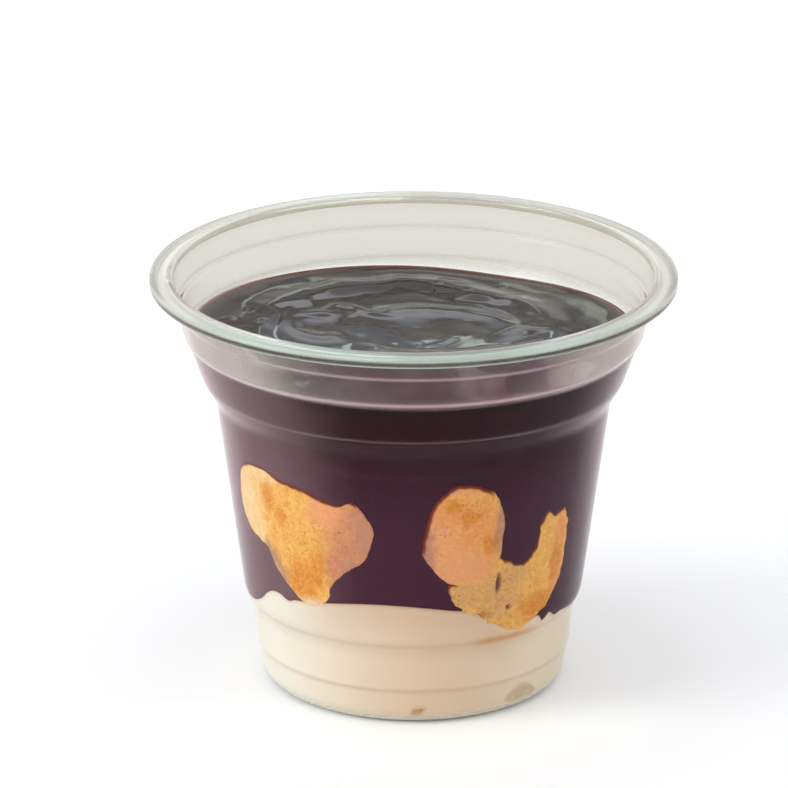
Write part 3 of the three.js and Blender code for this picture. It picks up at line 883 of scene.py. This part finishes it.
def chocolate_at_wall(look):
    """Sauce wetting the plastic: maroon, darker towards its top as painted shade, with a few tiny dark
    bubbles and a pale wash of painted light on its left side.
    """
    material, tree = new_material("chocolate_at_wall")
    # Painted shade towards the sauce's top
    high = tree.mask("high") * (0.8 + 0.4 * tree.grain(12))
    base = tree.blend(high, look.chocolate, look.chocolate_high_shade)
    bubbles = tree.step(tree.grain(1.4, detail=1), 0.70, 0.78)
    dotted = tree.blend(bubbles, base, tuple(0.4 * c for c in look.chocolate))
    # Painted light on the left side of the sauce
    painted_lit = tree.blend(look.painted_light_share * tree.mask("painted_lit"), dotted, look.painted_light)
    tree.surface(tree.principled(Base_Color=painted_lit, Roughness=0.6, Specular_IOR_Level=0.0))
    return material


def chocolate_top(look):
    """The open top of the sauce: glossy, nearly black, with fine drag lines."""
    material, tree = new_material("chocolate_top")
    base = tree.blend(tree.mask("thin"), look.chocolate_top, look.chocolate_thin)
    gloss = 0.04 + 0.10 * tree.step(tree.grain(5), 0.4, 0.8)
    normal = tree.bump(tree.grain(2.5, detail=2), 0.015)
    tree.surface(tree.principled(Base_Color=base, Roughness=gloss, Normal=normal))
    return material


def choux(name, look, base, crust, rim, grit):
    """Baked choux: spongy crumb with some crust, in fine light and dark specks as strong as grit says,
    with patches of each look, pores darkened by painted shade and a thin rim in a colour of its own."""
    material, tree = new_material(name)
    mottle = tree.step(tree.grain(2.0, detail=4, roughness=0.65), 0.38, 0.66)
    fine = tree.grain(0.6, detail=3, roughness=0.7)
    colour = tree.blend(0.45 * mottle, base, crust)
    for patch in LOOKS:
        colour = tree.blend(tree.mask(patch) * (1 - 0.4 * mottle), colour, getattr(look, patch))
    rough = grit * (1 - 0.6 * tree.mask("skin"))
    bright, dull = tree.step(fine, 0.5, 0.65), tree.step(1 - fine, 0.5, 0.65)
    specks = tree.step(tree.grain(1.1, detail=2), 0.58, 0.72)
    for grains, (speck, share) in zip((bright, dull, specks), GRAINS):
        colour = tree.blend(share * rough * grains, colour, speck)
    # Painted shade in the pores and pits, stronger where the crumb is soaked
    pored = tree.blend(tree.mask("pit") * (0.4 + 0.6 * tree.mask("soaked")), colour, PORE_SHADE)
    edged = tree.blend(tree.mask("edge"), pored, rim)
    normal = tree.bump(tree.grain(0.5, detail=4, roughness=0.6), 0.10)
    tree.surface(tree.principled(Base_Color=edged, Roughness=0.75, Specular_IOR_Level=0.15, Normal=normal))
    return material


def floor_finish(look):
    """Plain pale matt floor, a little whiter right in front of the foot as painted light over the cup's
    shadow.
    """
    material, tree = new_material("pale_floor")
    base = tree.blend(0.02 * tree.grain(40), look.floor, FLOOR_PATCH)
    reach = tree.node("ShaderNodeVectorMath", {"operation": "LENGTH"}, {0: tree.place()}, "Value")
    ahead = 1 - tree.step(tree.part(tree.place(), 1), *WHITE_AHEAD)
    # Painted light in front of the foot
    base = tree.blend(ahead * (1 - tree.step(reach, *WHITE_REACH)), base, WHITE_FLOOR)
    tree.surface(tree.principled(Base_Color=base, Roughness=0.9, Specular_IOR_Level=0.1))
    return material


# ---- the choux ----

BUNS_MIDDLE = 34.0
MM_PER_DEGREE = math.radians(wall_radius(BUNS_MIDDLE))     # length of one degree on the wall at the buns

BUMP_SIZE = 1.6                 # the crumb's largest bumps
PORE_SPACING = 0.9
PORE_FADE = (0.10, 0.30)        # distances from a pore's middle where it ends, in spacings
PORE_FIELD = 2.2                # size of the fields that have pores
PORE_EDGE = (0.3, 1.2)          # how far inside the outline the pores start
PATCH_FADE = (0.5, 1.3)         # distances from a patch's middle where it ends, in its half sizes
PATCH_RAGGED = 0.2              # how much noise adds to them
EDGE_DEPTH = 0.55               # how far a piece's rounded edge drops back
EDGE_WIDTH = 0.16


def in_plane(points):
    """(degrees, height) points as millimetres along the wall and height."""
    return np.array(points, float) * (MM_PER_DEGREE, 1)


def outline_distance(points, outline):
    """Distance from each point to a closed outline, negative inside: the nearest of its sides, with the
    sign from how many sides a level line to the right crosses."""
    a, b = outline, np.roll(outline, -1, axis=0)
    side = b - a
    offset = points[:, None] - a
    t = np.clip((offset * side).sum(-1) / (side**2).sum(-1), 0, 1)
    distance = np.linalg.norm(offset - t[..., None] * side, axis=-1).min(1)
    x, y = points[:, 0, None], points[:, 1, None]
    crosses = (a[:, 1] > y) != (b[:, 1] > y)
    reach = a[:, 0] + (y - a[:, 1]) / np.where(side[:, 1] == 0, 1e-9, side[:, 1]) * side[:, 0]
    inside = (crosses & (x < reach)).sum(1) % 2 == 1
    return np.where(inside, -distance, distance)


def choux_outline(spec, count=160):
    """The choux's smooth outline on the wall's plane."""
    return through(in_plane(spec["outline"]), np.linspace(0, 1, count, endpoint=False), True)


def patch_mask(degrees, height, patches):
    """Soft round patches of a look: each fades out by a smooth step about its half sizes, and noise
    breaks its edge."""
    ragged = fractal(np.stack([degrees * 0.5, height * 0.8, 0 * height], axis=-1), 3, 31)
    mask = np.zeros(np.shape(height))
    for angle, middle, wide, tall in patches:
        away = np.hypot((degrees - angle) / wide, (height - middle) / tall) + PATCH_RAGGED * ragged
        mask = np.maximum(mask, 1 - smooth(away, *PATCH_FADE))
    return mask


def choux_piece(name, look, turns=320, face_rings=110, dome_rings=36):
    """One piece of choux. Its face follows the wall inside an outline that noise makes ragged, and its
    back is a dome behind the spine. The face is a grid from the spine out to the outline; its depth
    grows at the edge and in the pores, which stand about random points, and noise bumps it."""
    spec = CHOUX[name]
    small = name in SOAKED
    turns, face_rings = (turns // 4, face_rings // 4) if small else (turns, face_rings)
    turn = np.linspace(0, 1, turns, endpoint=False)
    edge = through(in_plane(spec["outline"]), turn, True)
    along = np.roll(edge, -1, axis=0) - np.roll(edge, 1, axis=0)
    outward = np.column_stack([along[:, 1], -along[:, 0]]) / np.linalg.norm(along, axis=1)[:, None]
    spine = in_plane(spec["spine"])
    there_and_back = (1 - np.cos(2 * np.pi * turn)) / 2
    ridge = through(spine, there_and_back, False) if len(spine) > 1 else spine + 0 * edge
    outward *= np.sign((outward * (edge - ridge)).sum(1))[:, None]
    seed = sum(map(ord, name))
    wobble = fractal(np.column_stack([edge * 0.8, np.zeros(turns)]), 3, seed)
    edge = edge + outward * (spec["ragged"] * wobble)[:, None]

    face = np.linspace(0, 1, face_rings) ** 0.8
    dome = np.cos(np.linspace(0, math.pi / 2, dome_rings + 1))[1:]
    ring = np.concatenate([face, dome])[:, None]
    plane = ridge + (edge - ridge) * ring[..., None]
    degrees, height = plane[..., 0] / MM_PER_DEGREE, plane[..., 1]
    at_wall = on_wall(degrees, height, 0)
    inward = np.linalg.norm(edge - ridge, axis=1) * (1 - ring)
    relief = look.relief / MM * fractal(at_wall / BUMP_SIZE, 4, seed + 1)
    pores = 1 - smooth(cell_distance(at_wall / PORE_SPACING, seed + 2), *PORE_FADE)
    pores *= smooth(noise(at_wall / PORE_FIELD, seed + 3), 0.1, 0.6) * smooth(inward, *PORE_EDGE)
    masks = {kind: patch_mask(degrees, height, spec["patches"].get(kind, ())) for kind in (*LOOKS, "pit")}
    rounding = EDGE_DEPTH * np.exp(-inward / EDGE_WIDTH)
    front = CHOUX_DEPTH - spec["proud"] + rounding + relief * (0.3 + 0.7 * smooth(inward, 0, 2))
    front = np.maximum(front + look.pore / MM * (0.5 * pores + 2 * masks["pit"]), 0.08)
    back = WALL + 0.6 + (spec["depth"] - 0.6) * np.sqrt(1 - np.minimum(ring, 1) ** 2) + 2 * relief
    is_face = np.arange(len(ring))[:, None] < face_rings
    back = np.maximum(back, front[face_rings - 1] + 0.05)
    points = on_wall(degrees, height, np.where(is_face, front, back))

    half = np.minimum(np.arange(turns), turns - np.arange(turns)) % turns
    piece, used = shell(name + "_crumb", points, half if len(spine) > 1 else None)
    up_left = (outward @ np.array([-0.5, 0.87])) + 0 * ring
    masks["skin"] = np.maximum.reduce([masks[kind] for kind in SMOOTH_LOOKS])
    masks["pit"] = np.maximum(0.5 * pores, masks["pit"])
    masks["edge"] = (1 - smooth(inward, 0.5, 1.1)) * (0.8 if small else smooth(up_left, 0.0, 0.5))
    attach(piece, used, {key: value + 0 * height for key, value in masks.items()})
    return piece


# ---- the fillings ----

# Rings along the cream's side and top, along the sauce's underside, side and top, and along the
# outermost part of that top, where the sauce climbs the wall.
CREAM_SIDE, CREAM_TOP = 64, 10
SAUCE_UNDER, SAUCE_SIDE, SAUCE_TOP = 8, 76, 94
CLIMB_PART, CLIMB_RINGS = 0.09, 14
DIMPLE_DEPTH = 2.0              # the dimple behind the choux, and how far inside its outline it deepens
DIMPLE_EDGE = (0.4, 1.2)


def columns(count=480, front_share=0.4):
    """Angles once round from the back, closer together at the front, where the borders show."""
    s = np.linspace(-1, 1, count, endpoint=False)
    return 180 * (s - front_share * np.sin(math.pi * s) / math.pi)


def level(radius, edge_height, middle):
    """A filling's surface: one height at the axis, and its edge's height at the wall."""
    reach = np.clip(radius / (wall_radius(middle) - WALL), 0, 1)
    return middle + (edge_height - middle) * reach**2


def dimple(degrees, height):
    """How much deeper a filling's face lies behind the choux, so that it never shows through it."""
    plane = np.column_stack([np.ravel(degrees * MM_PER_DEGREE + 0 * height), np.ravel(height + 0 * degrees)])
    nearest = np.full(len(plane), 9.0)
    for spec in CHOUX.values():
        outline = choux_outline(spec)
        near = np.all((plane > outline.min(0) - 1) & (plane < outline.max(0) + 1), axis=1)
        nearest[near] = np.minimum(nearest[near], outline_distance(plane[near], outline))
    return DIMPLE_DEPTH * smooth(-nearest.reshape(np.shape(height + 0 * degrees)), *DIMPLE_EDGE)


def cream_piece():
    """The cream: a floor just inside the cup's own, a side just inside its wall, and a top that meets
    the chocolate. Rings run from the axis out along the floor, up the wall and back to the axis."""
    degrees = columns()[None]
    border = around(CREAM_LINE, degrees)
    foot = wall_radius(FILL_DEPTH) - FILL_DEPTH
    floor = rounded(floor_chain(FILL_DEPTH) + [(foot, FILL_DEPTH, 0)])
    floor = refined(floor, 2.5)
    base = polar(floor[:, 0, None], degrees, floor[:, 1, None])
    height = FILL_DEPTH + (border - FILL_DEPTH) * np.linspace(0, 1, CREAM_SIDE)[1:, None]
    side = on_wall(degrees, height, FILL_DEPTH + dimple(degrees, height))
    edge_radius = wall_radius(border) - FILL_DEPTH
    radius = edge_radius * np.linspace(1, 0, CREAM_TOP)[1:, None]
    top = polar(radius, degrees, level(radius, border, CREAM_MIDDLE))
    points = np.concatenate([base, side, top])
    piece, used = shell("cream_fill", points)
    angle, z = degrees + 0 * points[..., 2], points[..., 2]
    # Painted shade along the wall's steps and the sauce's edge
    reach, share = BORDER_SHADE
    crease_shade = sum(part * bell(z, at, wide) for at, wide, part in CREASE_SHADES)
    crease_shade += share * np.exp(-np.abs(z - border) / reach)
    crease_shade += SHADE_SHARE * smooth(z - border, *SHADE) * (1 - smooth(np.abs(angle), *SHADE_SIDES))
    smear = sum(part * np.exp(-((angle - middle) / wide)**4) * bell(z, at, tall)
                for middle, wide, at, tall, part in SMEARS)
    # Painted light on the cream's left side, and the cooler cream on the right
    left, right = between(-angle, *CREAM_LIT_LEFT), between(angle, *CREAM_RIGHT)
    attach(piece, used, {"smear": smear, "crease_shade": crease_shade, "left": left, "right": right})
    return piece


def ridge_height(x, y, middle, axes, span, height, width):
    """One ridge: a bell of its half width about the ellipse, measured along the line from its middle,
    that fades at both ends of its span."""
    dx, dy = x - middle[0], y - middle[1]
    across, along = dx / axes[0], dy / axes[1]
    reach = np.maximum(np.hypot(across, along), 1e-6)
    off = np.hypot(dx, dy) * (1 - 1 / reach)
    angle = (np.degrees(np.arctan2(along, across)) - span[0]) % 360
    sweep = span[1] - span[0]
    fade = smooth(angle, 0, RIDGE_FADE) * (1 - smooth(angle, sweep - RIDGE_FADE, sweep))
    return height * fade * np.exp(-(off / width)**2)


def swirl_height(x, y, scale):
    """The poured swirl: its ridges and folds, bent by slow noise, and fine drag lines that follow the
    outer turn, as noise that is stretched along the circle and squeezed across it."""
    flat = np.stack([x, y, 0 * x], axis=-1)
    (slow, wide), (quick, fine) = SWIRL_BENDS
    bent_x = x + slow * noise(flat / wide, 41) + quick * noise(flat / fine, 46)
    bent_y = y + slow * noise(flat / wide + 7, 42) + quick * noise(flat / fine + 7, 47)
    total = sum(ridge_height(bent_x, bent_y, *ridge) for ridge in RIDGES + FOLDS) * scale
    dx, dy = bent_x - RIDGES[0][0][0], bent_y - RIDGES[0][0][1]
    radius, turn = np.hypot(dx, DRAG_OVAL * dy), np.arctan2(dy, dx)
    along, across = DRAG_BREAKS * np.cos(turn), DRAG_BREAKS * np.sin(turn)
    drag = noise(np.stack([radius / DRAG_SPACING, along, across], axis=-1), 43)
    inside = 1 - smooth(radius, *SWIRL_REACH)
    return total + DRAG_HEIGHT * scale * drag * inside * (0.6 + 0.4 * noise(flat / 7, 44))


def chocolate_piece(look):
    """The chocolate: an underside on the cream, a side just inside the wall, and the open top with its
    swirl, a few pits and an edge that climbs the wall by capillarity, as an exponential."""
    degrees = columns()[None]
    border = around(CREAM_LINE, degrees)
    contact = around(CHOCOLATE_LINE, degrees) + look.meniscus / MM
    below = (wall_radius(border) - FILL_DEPTH) * np.linspace(0, 1, SAUCE_UNDER)[:, None]
    under = polar(below, degrees, level(below, border, CREAM_MIDDLE))
    height = border + (contact - border) * np.linspace(0, 1, SAUCE_SIDE)[1:, None]
    side = on_wall(degrees, height, FILL_DEPTH + dimple(degrees, height))
    edge_radius = wall_radius(contact) - FILL_DEPTH
    climb, rest = np.linspace(0, CLIMB_PART, CLIMB_RINGS), np.linspace(CLIMB_PART, 1, SAUCE_TOP)
    inset = np.concatenate([climb[1:], rest[1:]])[:, None]
    radius = edge_radius * (1 - inset)
    top = polar(radius, degrees, 0)
    x, y = top[..., 0], top[..., 1]
    surface = level(radius, around(CHOCOLATE_LINE, degrees), CHOCOLATE_MIDDLE)
    inward = edge_radius - radius
    surface += look.meniscus / MM * np.exp(-inward / CLIMB_REACH)
    surface += swirl_height(x, y, look.swirl)
    swell = noise(np.stack([x, y, 0 * x], axis=-1) / SWELL_SIZE, 45)
    surface += SWELL_HEIGHT * swell * smooth(inward, 1, 4)
    for pit_x, pit_y in PITS:
        surface -= PIT_DEPTH * np.exp(-((x - pit_x)**2 + (y - pit_y)**2) / PIT_SPREAD)
    top[..., 2] = surface
    points = np.concatenate([under, side, top])
    piece, used = shell("chocolate_fill", points)
    thin = np.zeros(points.shape[:2])
    thin[-len(inset):] = np.exp(-inward / THIN_SAUCE)
    # Painted light on the sauce's left side
    painted_lit = between(-from_front(points), *PAINTED_LIGHT_SIDES)
    # The high mask is painted shade towards the sauce's top
    attach(piece, used, {"thin": thin, "high": smooth(points[..., 2], *SHADED_HIGH_SAUCE), "painted_lit": painted_lit})
    count = len(under) + len(side) - 1
    rows = np.repeat(np.arange(len(points) - 1), degrees.size)
    rows = rows[:len(piece.data.polygons)]
    piece.data.polygons.foreach_set("material_index", (rows >= count).astype(np.int32))
    return piece


# ---- operators ----


class DESSERT_OT_cup(bpy.types.Operator):
    """Turn the clear plastic cup with its stacking rings and rolled rim"""
    bl_idname = "dessert.cup"
    bl_label = "Clear Cup"

    def execute(self, context):
        look = context.scene.dessert_cup
        points = cup_points(look)
        piece, used = shell("cup_shell", points)
        attach(piece, used, cup_masks(points, look))
        place(piece, "clear_plastic", [clear_plastic(look)], "cup")
        return {"FINISHED"}


class DESSERT_OT_cream(bpy.types.Operator):
    """Fill the foot of the cup with vanilla cream"""
    bl_idname = "dessert.cream"
    bl_label = "Vanilla Cream"

    def execute(self, context):
        look = context.scene.dessert_filling
        place(cream_piece(), "vanilla_cream", [cream_at_wall(look)], "vanilla_cream")
        return {"FINISHED"}


class DESSERT_OT_chocolate(bpy.types.Operator):
    """Pour the chocolate sauce, with its swirled top"""
    bl_idname = "dessert.chocolate"
    bl_label = "Chocolate Sauce"

    def execute(self, context):
        look = context.scene.dessert_filling
        finishes = [chocolate_at_wall(look), chocolate_top(look)]
        place(chocolate_piece(look), "chocolate_sauce", finishes, "chocolate_sauce")
        return {"FINISHED"}


class DESSERT_OT_profiteroles(bpy.types.Operator):
    """Press the three profiteroles against the wall"""
    bl_idname = "dessert.profiteroles"
    bl_label = "Profiteroles"

    def execute(self, context):
        look = context.scene.dessert_choux
        finish = choux("choux", look, look.crumb, look.crust, look.rim, look.grit)
        for name in BUNS:
            place(choux_piece(name, look), "choux", [finish], name)
        return {"FINISHED"}


class DESSERT_OT_soaked_pieces(bpy.types.Operator):
    """Lay the two soaked bits of choux on the floor of the cup"""
    bl_idname = "dessert.soaked_pieces"
    bl_label = "Soaked Choux"

    def execute(self, context):
        look = context.scene.dessert_choux
        base, crust = look.sunken, look.sunken_crust
        finish = choux("choux_soaked", look, base, crust, look.sunken_rim, look.sunken_grit)
        for name in SOAKED:
            place(choux_piece(name, look), "choux_soaked", [finish], name)
        return {"FINISHED"}


def softbox(name, azimuth, elevation, distance, size, power, aim):
    """A square area light that faces the aim point from an angle round from the front and a height."""
    a, e = math.radians(azimuth), math.radians(elevation)
    away = Vector((math.sin(a) * math.cos(e), -math.cos(a) * math.cos(e), math.sin(e)))
    light = bpy.data.lights.new(name, "AREA")
    light.size = size
    light.energy = power
    lamp = bpy.data.objects.new(name, light)
    facing = away.to_track_quat("Z", "Y").to_matrix().to_4x4()
    lamp.matrix_world = Matrix.Translation(aim + away * distance) @ facing
    bpy.context.scene.collection.objects.link(lamp)


def room_light(strength):
    """Even light all round. Behind the cup it dims and then brightens from low to high, with a window
    a little to the left, for the glossy sauce to mirror."""
    world = bpy.data.worlds.new("room")
    bpy.context.scene.world = world
    tree = Tree(world)
    direction = tree.node("ShaderNodeTexCoord", output="Generated")
    across, away, up = (tree.part(direction, axis) for axis in range(3))
    back = ROOM_LOW
    for heights, light in ROOM_BANDS:
        back = tree.blend(tree.step(up, *heights), back, light)
    window = tree.between(-1 * across, *WINDOW_ACROSS) * tree.between(up, *WINDOW_UP)
    back = tree.blend(window, back, WINDOW)
    colour = tree.blend(tree.step(away, *ROOM_BEHIND), ROOM, back)
    background = tree.node("ShaderNodeBackground", {}, {"Color": colour, "Strength": strength})
    tree.node("ShaderNodeOutputWorld", {}, {"Surface": background})


def add_camera(look, aim):
    """A long lens that looks down on the aim point. The cup's axis and the aim point sit off the
    frame's middle by a few pixels, so the camera turns by that much."""
    back = Vector((0, -math.cos(look.elevation), math.sin(look.elevation)))
    up = Vector((0, math.sin(look.elevation), math.cos(look.elevation)))
    middle = FRAME_PIXELS / 2
    across = (middle - AXIS_PIXEL) / FOCAL_PIXELS
    down = (middle - TARGET_PIXEL) / FOCAL_PIXELS
    forward = -back + Vector((1, 0, 0)) * across - up * down
    camera = bpy.data.cameras.new("camera")
    camera.sensor_width = SENSOR
    camera.lens = FOCAL_PIXELS * SENSOR / FRAME_PIXELS
    eye = bpy.data.objects.new("camera", camera)
    facing = forward.to_track_quat("-Z", "Y").to_matrix().to_4x4()
    eye.matrix_world = Matrix.Translation(aim + back * look.distance) @ facing
    bpy.context.scene.collection.objects.link(eye)
    bpy.context.scene.camera = eye


class DESSERT_OT_stage(bpy.types.Operator):
    """Set the pale floor, the soft light and the camera"""
    bl_idname = "dessert.stage"
    bl_label = "Floor, Light and Camera"

    def execute(self, context):
        look = context.scene.dessert_stage
        aim = Vector((0, 0, look.aim_height))
        floor, _ = shell("pale_floor", turned(np.array(FLOOR_SECTION, float), FLOOR_TURNS))
        floor.data.materials.append(floor_finish(look))
        softbox("key_left", *KEY_PLACE, look.key, aim)
        room_light(look.glow)
        add_camera(look, aim)
        context.scene.view_settings.view_transform = "Standard"
        return {"FINISHED"}


class DESSERT_PT_sidebar(bpy.types.Panel):
    """Lists the steps of the dessert in the 3D view's sidebar."""
    bl_idname = "DESSERT_PT_sidebar"
    bl_label = "Profiteroles in a Cup"
    bl_space_type = "VIEW_3D"
    bl_region_type = "UI"
    bl_category = "Dessert"

    def draw(self, context):
        for step in STEPS:
            self.layout.operator(step.bl_idname)
        for group in GROUPS:
            box = self.layout.box()
            for key in getattr(context.scene, group).__annotations__:
                box.prop(getattr(context.scene, group), key)


STEPS = (
    DESSERT_OT_stage, DESSERT_OT_cup, DESSERT_OT_cream, DESSERT_OT_chocolate, DESSERT_OT_profiteroles,
    DESSERT_OT_soaked_pieces,
)


def register():
    for group in (*GROUPS.values(), *STEPS, DESSERT_PT_sidebar):
        bpy.utils.register_class(group)
    for name, group in GROUPS.items():
        setattr(bpy.types.Scene, name, bpy.props.PointerProperty(type=group))


def unregister():
    for name in GROUPS:
        delattr(bpy.types.Scene, name)
    for group in reversed((*GROUPS.values(), *STEPS, DESSERT_PT_sidebar)):
        bpy.utils.unregister_class(group)


def main():
    register()
    for step in STEPS:
        area, name = step.bl_idname.split(".")
        getattr(getattr(bpy.ops, area), name)()


if __name__ == "__main__":
    main()
